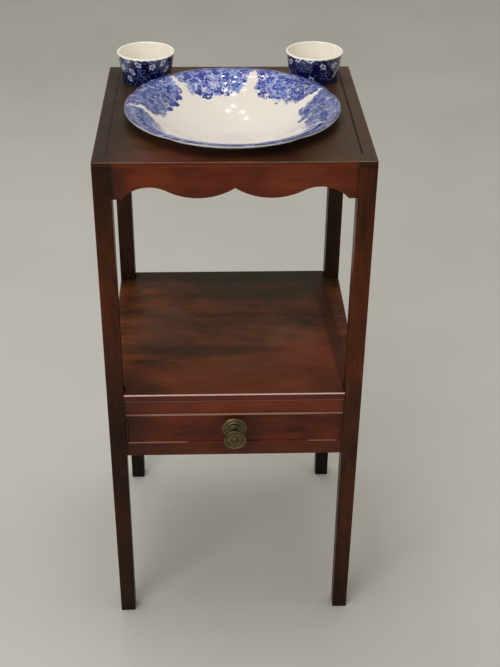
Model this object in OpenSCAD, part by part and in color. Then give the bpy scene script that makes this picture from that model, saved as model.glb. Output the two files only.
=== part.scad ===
// Square two-tier washstand in mahogany: a pierced top that holds a basin and two
// beakers, a shelf half way down, and a shallow case under the shelf with one drawer.
// Millimetres, +Z up. The drawer opens towards -Y. The origin is on the floor under the
// middle of the whole piece, with the knob counted in.

/* [Stand] */
// Width over the legs
case_w = 341; // [326:1:400]
// Depth over the legs
case_d = 337; // [332:1:400]
// Height of the top surface above the floor
stand_h = 732; // [660:1:820]
// Side of the square leg
leg_t = 22.4; // [18:0.2:26]
// How far each inner face of a leg draws in between the case and the floor
leg_taper = 1.4; // [0.2:0.2:5]
// Rounding of each leg's outer arris
leg_arris_r = 1.2; // [0.4:0.2:3]

/* [Top and aprons] */
// Thickness of the top board
top_t = 5; // [4:0.5:12]
// Rounding of the top board's corners, seen from above
top_corner_r = 2.4; // [1:0.2:6]
// Width of the two stopped grooves in the top
groove_w = 2.2; // [1:0.2:4]
// Depth of those grooves
groove_depth = 1; // [0.4:0.2:2]
// From a side edge of the top to the middle of its groove
groove_inset = 17; // [8:0.5:18]
// From the front edge of the top to where a groove stops
groove_stop = 24; // [10:1:60]
// Height of an apron at its ends
apron_h = 43; // [36:0.5:60]
// Thickness of an apron
apron_t = 14; // [12:0.5:18]
// Radius of the two hanging lobes of a shaped apron
lobe_r = 82; // [60:1:90]
// From the middle of the apron to the middle of a lobe
lobe_x = 44.5; // [38:0.5:48]
// Height of the lobe's lowest point above the apron's ends
lobe_rise = 1.2; // [0:0.2:4]
// Radius of the arch between a lobe and the leg
arch_r = 45; // [36:1:50]
// Height of the arch's crown above the apron's ends
arch_rise = 15.6; // [12:0.2:18]

/* [Shelf and case] */
// Height of the shelf's upper face above the floor
shelf_z = 398; // [350:1:450]
// Thickness of the shelf
shelf_t = 11.5; // [8:0.5:18]
// How far the shelf stands out in front of the legs
shelf_nose = 1.5; // [0.5:0.5:6]
// Height of the rail over the drawer
upper_rail_h = 20.5; // [14:0.5:30]
// Height of the drawer's opening
opening_h = 50.5; // [48:0.5:90]
// Height of the rail under the drawer
lower_rail_h = 20.5; // [14:0.5:30]
// How far rails and panels lie behind the faces of the legs
rail_recess = 1.5; // [0.5:0.5:3]
// Thickness of the case's side and back panels
panel_t = 12; // [10.5:0.5:14]
// Width of a drawer runner, and of a kicker
runner_w = 24; // [18:1:40]
// Thickness of a drawer runner
runner_t = 12; // [8:0.5:14]
// Height of the guide strip on each runner
guide_h = 14; // [8:1:30]
// Length of a drawer stop
stop_w = 30; // [15:1:50]
// Height of a drawer stop
stop_h = 5; // [3:0.5:6]
// From the middle of the case to the middle of a drawer stop
stop_x = 90; // [40:1:110]

/* [Joinery] */
// Thickness of every tenon
tenon_t = 6; // [4:0.5:6]
// From a leg's outer face to the near cheek of a tenon
tenon_set = 5; // [4:0.5:5.5]
// Shoulder left above and below a tenon
tenon_shoulder = 3; // [2:0.5:4]
// Wood left between two mortises that meet in one leg
mortise_wall = 1.2; // [1:0.2:2.4]
// Gap round a glued or driven joint
joint_fit = 0.1; // [0.05:0.05:0.2]
// Leg of a triangular glue block
block_leg = 12; // [8:0.5:14]
// Length of a glue block
block_len = 36; // [20:1:40]
// From the middle of the case back to the middle block on each side
mid_block_y = 26; // [20:1:40]

/* [Drawer] */
// Gap beside the drawer, on each side
side_clear = 0.6; // [0.4:0.1:1.5]
// Gap over the drawer front
top_clear = 0.5; // [0.3:0.1:1.5]
// Gap between the drawer and what it slides on or stops against
run_clear = 0.3; // [0.3:0.1:0.6]
// Gap between the closed drawer and the back of the case
drawer_back_gap = 8; // [4:1:40]
// Thickness of the drawer front
front_t = 13; // [12:0.5:16]
// Thickness of a drawer side
drawer_side_t = 7; // [6:0.5:9]
// Thickness of the drawer back
drawer_back_t = 7; // [6:0.5:9]
// How far the drawer back lies below the top of the sides
drawer_back_drop = 4; // [2:0.5:8]
// Thickness of the drawer bottom
bottom_t = 4; // [3:0.5:6]
// Height of the drawer bottom above the lower edge of the sides
bottom_lift = 7; // [6.5:0.5:9]
// Depth of the grooves that hold the drawer bottom
bottom_groove = 3; // [2:0.5:4]
// Thickness of the cock bead round the drawer front
bead_t = 3; // [2:0.2:4]
// How far the bead stands out of the drawer front
bead_proud = 2; // [1:0.2:3]
// How far the bead is let into the drawer front
bead_rebate = 4; // [3:0.5:5]
// Wood left between the bead and the dovetails
lap_cover = 1; // [0.6:0.2:2]
// Dovetails at the front of a drawer side
front_tails = 3; // [2:1:4]
// Dovetails at the back of a drawer side
back_tails = 2; // [1:1:3]
// Width left for a pin at the tip of two tails
pin_tip = 3; // [2:0.5:5]
// Run of a dovetail's slope for each unit across
tail_slope = 6; // [5:1:8]
// Radius of a nail's shank
nail_r = 0.8; // [0.5:0.1:1]
// Length of a nail's shank
nail_len = 14; // [8:1:20]
// Radius of a nail's head
nail_head_r = 2; // [1.5:0.1:3]
// Thickness of a nail's head
nail_head_t = 0.8; // [0.4:0.1:1.2]
// Distance from one nail to the next
nail_pitch = 100; // [60:5:120]

/* [Knob] */
// Radius of the brass rose
rose_r = 17; // [15:0.5:19]
// Thickness of the rose
rose_t = 3.6; // [3:0.2:5]
// Radius of the rose's raised middle
rose_seat_r = 11; // [9:0.5:13]
// Radius of the knob's head
knob_r = 15.5; // [12:0.5:18]
// How far the knob stands out of the drawer front
knob_reach = 30; // [26:0.5:38]
// Thickness of the head at its rim
head_t = 4; // [3:0.5:6]
// Width of the head's rim round the hollow in its face
head_rim_w = 3.2; // [2:0.2:4]
// Depth of that hollow
head_hollow = 1; // [0.4:0.2:1.6]
// Radius of the knob's neck
neck_r = 5.5; // [5:0.5:7]
// Radius of the flare behind the head
flare_r = 8.2; // [7.5:0.1:10]
// Half the height of the bead at the foot of the neck
foot_bead_r = 1.8; // [1:0.2:2.4]
// Half the height of the bead half way up the neck
neck_bead_r = 1.4; // [0.8:0.2:2]
// Radius of the boss in the middle of the head
boss_r = 5; // [3:0.5:6]
// How far the boss stands out in front of the head's rim
boss_rise = 2; // [1:0.5:3]
// How far the knob lies below the middle of the drawer front
knob_drop = 1; // [0:0.5:4]
// Radius of the knob's bolt
bolt_r = 2.5; // [2:0.25:3]
// Depth of the bolt's hole in the knob
bolt_grip = 14; // [8:1:18]
// Width of the nut over its flats
nut_flats = 9; // [8:0.5:10]
// Thickness of the nut
nut_t = 3; // [2:0.5:5]

/* [Basin] */
// Radius of the basin over its rim
basin_r = 139; // [125:0.5:142]
// Depth of the basin from its rim, at mid wall
basin_depth = 55; // [44:1:62]
// Width of the basin's spreading rim, outside the round of the bowl
spread_w = 29; // [22:1:36]
// How far the wall falls over that width
spread_drop = 13.6; // [11:0.2:17]
// Thickness of the basin's wall
basin_wall = 4; // [3:0.5:6]
// Height of the basin's rim above the top board
basin_rise = 16; // [12:0.5:24]
// Depth of the flat in the basin's floor
basin_flat = 2.5; // [1:0.5:4]
// Radius of the basin's foot ring
foot_ring_r = 60; // [45:1:70]
// Width of the foot ring
foot_ring_w = 6; // [4:0.5:9]
// Height of the foot ring below the bowl
foot_ring_h = 3; // [2:0.5:6]

/* [Beakers] */
// Radius of a beaker over its rim
cup_r = 39.5; // [37:0.5:41]
// Radius of a beaker where it passes the top surface
cup_seat_r = 32.5; // [30:0.5:34]
// Height of a beaker above the top board
cup_rise = 40; // [34:1:48]
// Length of a beaker below the top surface
cup_below = 32; // [24:1:38]
// Thickness of a beaker's wall
cup_wall = 3.2; // [2.4:0.2:4]
// Thickness of a beaker's floor
cup_floor = 4; // [3:0.5:6]
// Gap between a beaker's hole and the side apron
cup_side_gap = 7.7; // [4:0.1:12]
// Gap between a beaker's hole and the back apron
cup_back_gap = 1.8; // [1:0.1:6]
// Gap between a beaker's rim and the basin's rim, seen from above
cup_basin_gap = 1.8; // [1:0.1:3]
// Gap between a vessel and the edge of its hole
seat_clear = 0.3; // [0.3:0.1:1]

/* [Hidden] */
// facets of a circle: the usual count, then small beads and nails, bores, long curves, the bowl
$fn = 96;
bead_fn = 32;
bore_fn = 48;
curve_fn = 180;
bowl_fn = 256;
mahogany = [0.33, 0.15, 0.10];
dark_mahogany = [0.22, 0.10, 0.07];
oak = [0.45, 0.32, 0.20];
old_brass = [0.42, 0.37, 0.22];
iron = [0.25, 0.23, 0.21];
cream_glaze = [0.90, 0.87, 0.80];
blue_glaze = [0.12, 0.14, 0.36];
// cuts run this far past a face
past = 1;

half_w = case_w / 2;
half_d = case_d / 2;
// the knob's reach in front of the legs sets where the middle of the whole piece lies
knob_out = knob_reach - rail_recess;
mid_y = knob_out / 2;
// clear width and depth between the legs
between_w = case_w - 2 * leg_t;
between_d = case_d - 2 * leg_t;
tenon_len = leg_t - tenon_set - tenon_t - mortise_wall;

// heights, from the floor up
upper_rail_z = shelf_z - shelf_t - upper_rail_h;
opening_z = upper_rail_z - opening_h;
lower_rail_z = opening_z - lower_rail_h;
panel_h = shelf_z - shelf_t - lower_rail_z;
top_under = stand_h - top_t;
apron_z = top_under - apron_h;

// inner faces of the case panels and of the aprons
panel_in_x = half_w - rail_recess - panel_t;
panel_in_y = half_d - rail_recess - panel_t;
apron_in_x = half_w - apron_t;
apron_in_y = half_d - apron_t;
rail_d = leg_t - rail_recess;

// drawer, in its own frame: X from its middle, Y back from its face, Z up from its edge
drawer_w = between_w - 2 * side_clear;
drawer_h = opening_h - run_clear - top_clear;
drawer_len = half_d - rail_recess + panel_in_y - drawer_back_gap;
board_h = drawer_h - bead_t;
tail_lap = front_t - bead_rebate - lap_cover;
back_z = bottom_lift + bottom_t;
back_h = board_h - drawer_back_drop - back_z;
bottom_half_w = drawer_w / 2 - drawer_side_t + bottom_groove;
knob_z = drawer_h / 2 - knob_drop;

// basin: a round bowl out to the join, then a rim that curves the other way to the lip
lip_r = basin_wall / 2;
lip_x = basin_r - lip_r;
lip_z = stand_h + basin_rise - lip_r;
join_x = lip_x - spread_w;
join_z = lip_z - spread_drop;
bowl_depth = basin_depth - spread_drop;
bowl_mid_r = (join_x * join_x + bowl_depth * bowl_depth) / (2 * bowl_depth);
bowl_centre_z = join_z + bowl_mid_r - bowl_depth;
bowl_in_r = bowl_mid_r - lip_r;
// slope of the wall at the join and at the lip, and the curve between them
join_turn = asin(join_x / bowl_mid_r);
half_bend = join_turn - atan(spread_drop / spread_w);
lip_turn = join_turn - 2 * half_bend;
spread_mid_r = norm([spread_w, spread_drop]) / (2 * sin(half_bend));
spread_centre_x = join_x + spread_mid_r * sin(join_turn);
spread_centre_z = join_z - spread_mid_r * cos(join_turn);
// the hole in the top touches the basin where the basin passes the top surface
seat_out = lip_r + seat_clear;
seat_in_bowl = join_z - seat_out * cos(join_turn) > stand_h;
basin_hole_r = seat_in_bowl
    ? sqrt(pow(bowl_mid_r + seat_out, 2) - pow(bowl_centre_z - stand_h, 2))
    : spread_centre_x - sqrt(pow(spread_mid_r - seat_out, 2)
                             - pow(stand_h - spread_centre_z, 2));

// beakers, and the basin's place in front of them
cup_slope = (cup_r - cup_seat_r) / (cup_rise - cup_wall / 2);
cup_foot_r = cup_seat_r - cup_slope * cup_below;
cup_hole_r = cup_seat_r + seat_clear;
cup_x = apron_in_x - cup_hole_r - cup_side_gap;
cup_y = apron_in_y - cup_hole_r - cup_back_gap;
cup_to_basin = basin_r + cup_r + cup_basin_gap;
basin_y = cup_y - sqrt(pow(cup_to_basin, 2) - pow(cup_x, 2));

// glue blocks: clear of the basin's hole in front and at the sides, between the beakers behind
front_block_x = between_w / 2 - block_len;
side_block_y = between_d / 2 - block_len;

// moves a piece drawn round the middle of the legs to its place in the whole
module placed() translate([0, mid_y, 0]) children();

// moves a piece drawn in the drawer's own frame to the closed drawer's place
module in_drawer()
    placed() translate([0, rail_recess - half_d, opening_z + run_clear]) children();

// one copy on the left and one on the right
module both_sides() {
    children();
    mirror([1, 0, 0]) children();
}

// a block given by its lowest and highest corners
module block(low, high) translate(low) cube(high - low);

// Legs

// plan of the back right leg, with its outer arris rounded
module leg_plan() {
    translate([half_w - leg_t, half_d - leg_t]) square([leg_t, leg_t - leg_arris_r]);
    translate([half_w - leg_t, half_d - leg_t]) square([leg_t - leg_arris_r, leg_t]);
    translate([half_w - leg_arris_r, half_d - leg_arris_r]) circle(leg_arris_r);
}

// outline of a leg in elevation: straight outside, drawn in on the inside below the case
module leg_outline(outer)
    polygon([[outer, 0], [outer, top_under], [outer - leg_t, top_under],
             [outer - leg_t, lower_rail_z], [outer - leg_t + leg_taper, 0]]);

module leg_blank()
    intersection() {
        linear_extrude(top_under) leg_plan();
        translate([0, half_d + past, 0]) rotate([90, 0, 0])
            linear_extrude(leg_t + 2 * past) leg_outline(half_w);
        translate([half_w - leg_t - past, 0, 0]) rotate([90, 0, 90])
            linear_extrude(leg_t + 2 * past) leg_outline(half_d);
    }

// mortise for a piece that runs left to right, in the back right leg
module mortise_x(z, h)
    block([half_w - leg_t - past,
           half_d - tenon_set - tenon_t - joint_fit,
           z + tenon_shoulder - joint_fit],
          [half_w - leg_t + tenon_len + joint_fit,
           half_d - tenon_set + joint_fit,
           z + h - tenon_shoulder + joint_fit]);

// mortise for a piece that runs front to back, in the back right leg
module mortise_y(z, h)
    block([half_w - tenon_set - tenon_t - joint_fit,
           half_d - leg_t - past,
           z + tenon_shoulder - joint_fit],
          [half_w - tenon_set + joint_fit,
           half_d - leg_t + tenon_len + joint_fit,
           z + h - tenon_shoulder + joint_fit]);

module back_leg()
    difference() {
        leg_blank();
        mortise_x(apron_z, apron_h);
        mortise_y(apron_z, apron_h);
        mortise_x(lower_rail_z, panel_h);
        mortise_y(lower_rail_z, panel_h);
    }

module front_leg()
    mirror([0, 1, 0]) difference() {
        leg_blank();
        mortise_x(apron_z, apron_h);
        mortise_y(apron_z, apron_h);
        mortise_x(lower_rail_z, lower_rail_h);
        mortise_x(upper_rail_z, upper_rail_h);
        mortise_y(lower_rail_z, panel_h);
    }

module leg_front_left() color(dark_mahogany) placed() mirror([1, 0, 0]) front_leg();
module leg_front_right() color(dark_mahogany) placed() front_leg();
module leg_back_left() color(dark_mahogany) placed() mirror([1, 0, 0]) back_leg();
module leg_back_right() color(dark_mahogany) placed() back_leg();

// Rails, aprons and panels

// a pair of end tenons on a board that runs left to right, its outer face towards +Y
module end_tenons(length, z, h)
    both_sides()
        block([length / 2, half_d - tenon_set - tenon_t, z + tenon_shoulder],
              [length / 2 + tenon_len, half_d - tenon_set, z + h - tenon_shoulder]);

// a tenoned board between two legs: its outer face recess behind the legs' faces
module framed_board(length, z, h, thickness, recess) {
    block([-length / 2, half_d - recess - thickness, z], [length / 2, half_d - recess, z + h]);
    end_tenons(length, z, h);
}

// turns a piece drawn at the back of the stand to face the front
module facing_front() mirror([0, 1, 0]) children();

// turns a piece drawn at the back of a stand of depth case_w to face the right
module facing_right()
    translate([half_w - half_d, 0, 0]) rotate([0, 0, -90]) children();

// what is cut away under one half of a shaped apron
module apron_cut() {
    arch_centre = arch_rise - arch_r;
    lobe_centre = lobe_rise + lobe_r;
    arch_x = lobe_x + sqrt(pow(lobe_r + arch_r, 2) - pow(lobe_centre - arch_centre, 2));
    meet_x = lobe_x + (arch_x - lobe_x) * lobe_r / (lobe_r + arch_r);
    difference() {
        translate([0, -past]) square([meet_x, past + 2 * arch_rise]);
        translate([lobe_x, lobe_centre]) circle(lobe_r, $fn = curve_fn);
        translate([0, lobe_centre]) square([meet_x, lobe_r]);
    }
    intersection() {
        translate([meet_x, -past]) square([arch_r * 2, past + arch_r]);
        translate([arch_x, arch_centre]) circle(arch_r, $fn = curve_fn);
    }
}

module shaped_apron(length)
    difference() {
        framed_board(length, apron_z, apron_h, apron_t, 0);
        both_sides()
            translate([0, half_d + past, apron_z]) rotate([90, 0, 0])
                linear_extrude(apron_t + 2 * past) apron_cut();
    }

// hollows the inner face of an apron wherever it would touch the basin
module clear_of_basin()
    difference() {
        children();
        translate([0, basin_y, bowl_centre_z]) sphere(bowl_mid_r + seat_out, $fn = curve_fn);
    }

module apron_front()
    color(mahogany) placed() clear_of_basin() facing_front() shaped_apron(between_w);
module apron_back()
    color(dark_mahogany) placed() framed_board(between_w, apron_z, apron_h, apron_t, 0);
module apron_right()
    color(mahogany) placed() clear_of_basin() facing_right() shaped_apron(between_d);
module apron_left()
    color(mahogany) placed() clear_of_basin() mirror([1, 0, 0]) facing_right()
        shaped_apron(between_d);

module upper_rail()
    color(mahogany) placed() facing_front()
        framed_board(between_w, upper_rail_z, upper_rail_h, rail_d, rail_recess);

module lower_rail()
    color(mahogany) placed() facing_front()
        framed_board(between_w, lower_rail_z, lower_rail_h, rail_d, rail_recess);

module case_panel(length) framed_board(length, lower_rail_z, panel_h, panel_t, rail_recess);
module case_back() color(dark_mahogany) placed() case_panel(between_w);
module case_side_right() color(mahogany) placed() facing_right() case_panel(between_d);
module case_side_left()
    color(mahogany) placed() mirror([1, 0, 0]) facing_right() case_panel(between_d);

// Top and shelf

module top_plan() {
    translate([-half_w + top_corner_r, -half_d])
        square([case_w - 2 * top_corner_r, case_d]);
    translate([-half_w, -half_d + top_corner_r])
        square([case_w, case_d - 2 * top_corner_r]);
    for (sx = [-1, 1], sy = [-1, 1])
        translate([sx * (half_w - top_corner_r), sy * (half_d - top_corner_r)])
            circle(top_corner_r, $fn = bore_fn);
}

module top_board()
    color(mahogany) placed() difference() {
        translate([0, 0, top_under]) linear_extrude(top_t) top_plan();
        translate([0, basin_y, top_under - past])
            cylinder(h = top_t + 2 * past, r = basin_hole_r);
        both_sides() {
            translate([cup_x, cup_y, top_under - past])
                cylinder(h = top_t + 2 * past, r = cup_hole_r);
            block([half_w - groove_inset - groove_w / 2, groove_stop - half_d,
                   stand_h - groove_depth],
                  [half_w - groove_inset + groove_w / 2, half_d + past, stand_h + past]);
        }
    }

// a triangular block that runs left to right, glued to the back apron and the top
module glue_block()
    translate([-block_len / 2, apron_in_y, top_under]) rotate([90, 0, 90])
        linear_extrude(block_len)
            polygon([[0, 0], [-block_leg, 0], [0, -block_leg]]);

module top_glue_blocks()
    color(oak) placed() {
        both_sides() {
            facing_front() translate([front_block_x, 0, 0]) glue_block();
            facing_right() translate([side_block_y, 0, 0]) glue_block();
            facing_right() translate([-mid_block_y, 0, 0]) glue_block();
        }
        glue_block();
    }

module shelf_board()
    color(mahogany) placed() difference() {
        union() {
            block([-half_w, -half_d, shelf_z - shelf_t], [half_w, half_d, shelf_z]);
            block([-between_w / 2 + joint_fit, -half_d - shelf_nose, shelf_z - shelf_t],
                  [between_w / 2 - joint_fit, 0, shelf_z]);
        }
        both_sides() for (side = [0, 1]) mirror([0, side, 0])
            block([between_w / 2 - joint_fit, between_d / 2 - joint_fit,
                   shelf_z - shelf_t - past],
                  [half_w + past, half_d + past, shelf_z + past]);
    }

// Inside the case

// a strip along the right side of the case, cut round the back leg
module side_strip(z, h)
    difference() {
        block([panel_in_x - runner_w, leg_t - half_d, z], [panel_in_x, panel_in_y, z + h]);
        block([between_w / 2, between_d / 2, z - past], [half_w, half_d, z + h + past]);
    }

module runner() side_strip(opening_z - runner_t, runner_t);
module kicker() side_strip(upper_rail_z, upper_rail_h);
module guide()
    block([between_w / 2, -between_d / 2, opening_z],
          [panel_in_x, between_d / 2, opening_z + guide_h]);

module runner_right() color(oak) placed() runner();
module runner_left() color(oak) placed() mirror([1, 0, 0]) runner();
module kicker_right() color(oak) placed() kicker();
module kicker_left() color(oak) placed() mirror([1, 0, 0]) kicker();
module guide_right() color(oak) placed() guide();
module guide_left() color(oak) placed() mirror([1, 0, 0]) guide();

// two blocks on the lower rail, just behind the closed drawer front
module drawer_stops()
    color(oak) placed() both_sides()
        block([stop_x - stop_w / 2, rail_recess - half_d + front_t + run_clear, opening_z],
              [stop_x + stop_w / 2, leg_t - half_d, opening_z + stop_h]);

// Drawer

// dovetails in the YZ plane: their roots at y = 0, their tips at y = lap
module tails(count, z, h, lap, grow)
    for (i = [0 : count - 1]) {
        pitch = h / count;
        tip = (pitch - pin_tip) / 2;
        root = tip - lap / tail_slope;
        translate([0, z + (i + 0.5) * pitch])
            polygon([[-grow, -root - grow], [lap + grow, -tip - grow],
                     [lap + grow, tip + grow], [-grow, root + grow]]);
    }

// tails at the front of the side, seen from the side: Y to the right, Z up
module front_tail_shape(grow)
    translate([front_t, 0]) mirror([1, 0])
        tails(front_tails, 0, board_h, tail_lap, grow);

module back_tail_shape(grow)
    translate([drawer_len - drawer_back_t, 0])
        tails(back_tails, back_z, back_h, drawer_back_t, grow);

// draws a side-view shape as a plate inside the drawer's right face
module side_plate(thickness)
    translate([drawer_w / 2 - thickness, 0, 0]) rotate([90, 0, 90])
        linear_extrude(thickness) children();

// the groove for the drawer bottom, open at both ends of a side
module bottom_slot()
    block([0, 0, bottom_lift], [bottom_half_w, drawer_len + past, bottom_lift + bottom_t]);

module drawer_side()
    difference() {
        side_plate(drawer_side_t) {
            difference() {
                translate([front_t, 0]) square([drawer_len - front_t, board_h]);
                translate([drawer_len - drawer_back_t, back_z - joint_fit])
                    square([drawer_back_t + past, back_h + 2 * joint_fit]);
            }
            front_tail_shape(0);
            intersection() {
                back_tail_shape(0);
                square([drawer_len, board_h]);
            }
        }
        bottom_slot();
    }

module drawer_side_right() color(oak) in_drawer() drawer_side();
module drawer_side_left() color(oak) in_drawer() mirror([1, 0, 0]) drawer_side();

module drawer_front()
    color(mahogany) in_drawer() difference() {
        block([-drawer_w / 2, 0, 0], [drawer_w / 2, front_t, board_h]);
        block([-drawer_w / 2 - past, -past, -past],
              [drawer_w / 2 + past, bead_rebate, bead_t]);
        both_sides() {
            block([drawer_w / 2 - bead_t, -past, -past],
                  [drawer_w / 2 + past, bead_rebate, board_h + past]);
            side_plate(drawer_side_t + joint_fit) front_tail_shape(joint_fit);
            translate([past, 0, 0])
                side_plate(drawer_side_t) front_tail_shape(joint_fit);
            block([-past, front_t - bottom_groove, bottom_lift - joint_fit],
                  [bottom_half_w + joint_fit, front_t + past,
                   bottom_lift + bottom_t + joint_fit]);
        }
        translate([0, -past, knob_z]) rotate([-90, 0, 0])
            cylinder(h = front_t + 2 * past, r = bolt_r + joint_fit, $fn = bore_fn);
    }

module drawer_back()
    color(oak) in_drawer() difference() {
        block([-drawer_w / 2, drawer_len - drawer_back_t, back_z],
              [drawer_w / 2, drawer_len, back_z + back_h]);
        both_sides() translate([past, 0, 0])
            side_plate(drawer_side_t + past + joint_fit) back_tail_shape(joint_fit);
        nail_holes();
    }

module drawer_bottom()
    color(oak) in_drawer() difference() {
        block([-bottom_half_w + joint_fit, front_t - bottom_groove + joint_fit, bottom_lift],
              [bottom_half_w - joint_fit, drawer_len, bottom_lift + bottom_t]);
        nail_holes();
    }

// the nails that hold the drawer bottom up to the drawer back
module nail_row()
    for (i = [-1 : 1])
        translate([i * nail_pitch, drawer_len - drawer_back_t / 2, bottom_lift])
            children();

module nail_holes()
    nail_row() translate([0, 0, -past])
        cylinder(h = nail_len + past + joint_fit, r = nail_r + joint_fit, $fn = bead_fn);

module drawer_nails()
    color(iron) in_drawer() nail_row() {
        cylinder(h = nail_len, r = nail_r, $fn = bead_fn);
        translate([0, 0, -nail_head_t]) cylinder(h = nail_head_t, r = nail_head_r, $fn = bead_fn);
    }

// cock bead: seen end on, Y back from the drawer's face and Z up from the bead's flat
module bead_section(depth) {
    nose = bead_t / 2;
    translate([nose - bead_proud, nose]) circle(nose, $fn = bead_fn);
    translate([nose - bead_proud, 0]) square([depth + bead_proud - nose, bead_t]);
}

// a length of bead along the lower edge of a front w wide, mitred at both ends
module mitred_bead(w, depth)
    intersection() {
        translate([-w / 2, 0, 0]) rotate([90, 0, 90])
            linear_extrude(w) bead_section(depth);
        translate([0, depth + past, 0]) rotate([90, 0, 0])
            linear_extrude(depth + bead_proud + 2 * past)
                polygon([[-w / 2, 0], [w / 2, 0], [w / 2 - bead_t, bead_t],
                         [bead_t - w / 2, bead_t]]);
    }

module drawer_bead_bottom() color(mahogany) in_drawer() mitred_bead(drawer_w, bead_rebate);
module drawer_bead_right()
    color(mahogany) in_drawer() translate([drawer_w / 2, 0, drawer_h / 2])
        rotate([0, -90, 0]) mitred_bead(drawer_h, bead_rebate);
module drawer_bead_left()
    color(mahogany) in_drawer() translate([-drawer_w / 2, 0, drawer_h / 2])
        rotate([0, 90, 0]) mitred_bead(drawer_h, bead_rebate);

// the top bead also covers the whole upper edge of the front behind the mitres
module drawer_bead_top()
    color(mahogany) in_drawer() {
        translate([0, 0, drawer_h]) rotate([0, 180, 0]) mitred_bead(drawer_w, bead_rebate);
        block([-drawer_w / 2, bead_rebate, board_h], [drawer_w / 2, front_t, drawer_h]);
    }

// Knob, drawn with its axis on +Z and turned to point out of the drawer front

module on_front()
    in_drawer() translate([0, 0, knob_z]) rotate([90, 0, 0]) children();

module knob_rose()
    color(old_brass) on_front() rotate_extrude() {
        step = rose_t / 3;
        bore_r = bolt_r + joint_fit;
        // a flat plate, a chamfered step and the raised middle
        translate([bore_r, 0]) square([rose_r - bore_r, step]);
        polygon([[bore_r, step], [rose_r, step], [rose_r - step, 2 * step],
                 [bore_r, 2 * step]]);
        translate([bore_r, 0]) square([rose_seat_r - bore_r, rose_t]);
    }

module knob_outline() {
    head_back = knob_reach - boss_rise - head_t;
    rim_r = head_t / 2;
    // neck, with a bead at its foot and another half way up
    translate([0, rose_t]) square([neck_r, head_back - rose_t]);
    translate([0, rose_t]) square([neck_r + foot_bead_r, 2 * foot_bead_r]);
    translate([neck_r + foot_bead_r, rose_t + foot_bead_r]) circle(foot_bead_r, $fn = bead_fn);
    translate([neck_r, (rose_t + head_back) / 2]) circle(neck_bead_r, $fn = bead_fn);
    // the head flares from the neck to a rounded rim
    polygon([[0, head_back - 2 * head_t], [neck_r, head_back - 2 * head_t],
             [flare_r, head_back - rim_r], [knob_r - rim_r, head_back], [0, head_back]]);
    difference() {
        union() {
            translate([0, head_back]) square([knob_r - rim_r, head_t]);
            translate([knob_r - rim_r, head_back + rim_r]) circle(rim_r, $fn = bead_fn);
        }
        translate([0, head_back + head_t - head_hollow])
            square([knob_r - head_rim_w, head_t]);
    }
    intersection() {
        translate([0, knob_reach - boss_r]) circle(boss_r, $fn = bore_fn);
        translate([0, head_back]) square([boss_r, knob_reach]);
    }
}

module knob()
    color(old_brass) on_front() difference() {
        rotate_extrude() intersection() {
            knob_outline();
            square([knob_r, knob_reach]);
        }
        translate([0, 0, rose_t - past])
            cylinder(h = bolt_grip + past, r = bolt_r + joint_fit, $fn = bore_fn);
    }

module knob_bolt()
    color(iron) on_front()
        translate([0, 0, -front_t - nut_t - past])
            cylinder(h = past + nut_t + front_t + rose_t + bolt_grip, r = bolt_r, $fn = bore_fn);

module knob_nut()
    color(iron) on_front() translate([0, 0, -front_t - nut_t]) difference() {
        cylinder(h = nut_t, r = nut_flats / sqrt(3), $fn = 6);
        translate([0, 0, -past])
            cylinder(h = nut_t + 2 * past, r = bolt_r + joint_fit, $fn = bore_fn);
    }

// Vessels

// part of a ring of the wall's thickness, between two directions from its centre
module wall_arc(mid_r, from, to) {
    reach = 2 * (mid_r + lip_r);
    intersection() {
        difference() {
            circle(mid_r + lip_r, $fn = bowl_fn);
            circle(mid_r - lip_r, $fn = bowl_fn);
        }
        polygon([[0, 0], reach * from, reach * to]);
    }
}

// half section of the basin's wall: the bowl, the spreading rim, the rounded lip
module bowl_wall() {
    across_join = [sin(join_turn), -cos(join_turn)];
    across_lip = [sin(lip_turn), -cos(lip_turn)];
    translate([0, bowl_centre_z]) wall_arc(bowl_mid_r, [0, -1], across_join);
    translate([spread_centre_x, spread_centre_z])
        wall_arc(spread_mid_r, -across_join, -across_lip);
    translate([lip_x, lip_z]) circle(lip_r, $fn = bead_fn);
}

module basin() {
    bowl_floor = bowl_centre_z - bowl_in_r;
    color(cream_glaze) placed() translate([0, basin_y, 0]) rotate_extrude($fn = curve_fn) {
        bowl_wall();
        // flat in the floor
        intersection() {
            translate([0, bowl_centre_z]) circle(bowl_mid_r, $fn = bowl_fn);
            translate([0, bowl_floor - lip_r]) square([basin_r, lip_r + basin_flat]);
        }
        // foot ring
        intersection() {
            translate([foot_ring_r - foot_ring_w, bowl_floor - basin_wall - foot_ring_h])
                square([foot_ring_w, basin_depth]);
            difference() {
                translate([0, bowl_floor - basin_depth]) square([basin_r, 2 * basin_depth]);
                translate([0, bowl_centre_z]) circle(bowl_mid_r, $fn = bowl_fn);
            }
        }
    }
}

// half section of a beaker, from the middle out
module cup_outline() {
    foot = stand_h - cup_below;
    rim = stand_h + cup_rise;
    inside_foot_r = cup_foot_r - cup_wall;
    lip = cup_wall / 2;
    difference() {
        polygon([[0, foot], [cup_foot_r, foot], [cup_r, rim - lip], [0, rim - lip]]);
        polygon([[0, foot + cup_floor], [inside_foot_r + cup_slope * cup_floor,
                 foot + cup_floor], [cup_r - cup_wall + cup_slope * past, rim + past],
                 [0, rim + past]]);
    }
    translate([cup_r - lip, rim - lip]) circle(lip, $fn = bead_fn);
}

module cup() translate([cup_x, cup_y, 0]) rotate_extrude() cup_outline();
module cup_right() color(blue_glaze) placed() cup();
module cup_left() color(blue_glaze) placed() mirror([1, 0, 0]) cup();

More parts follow.
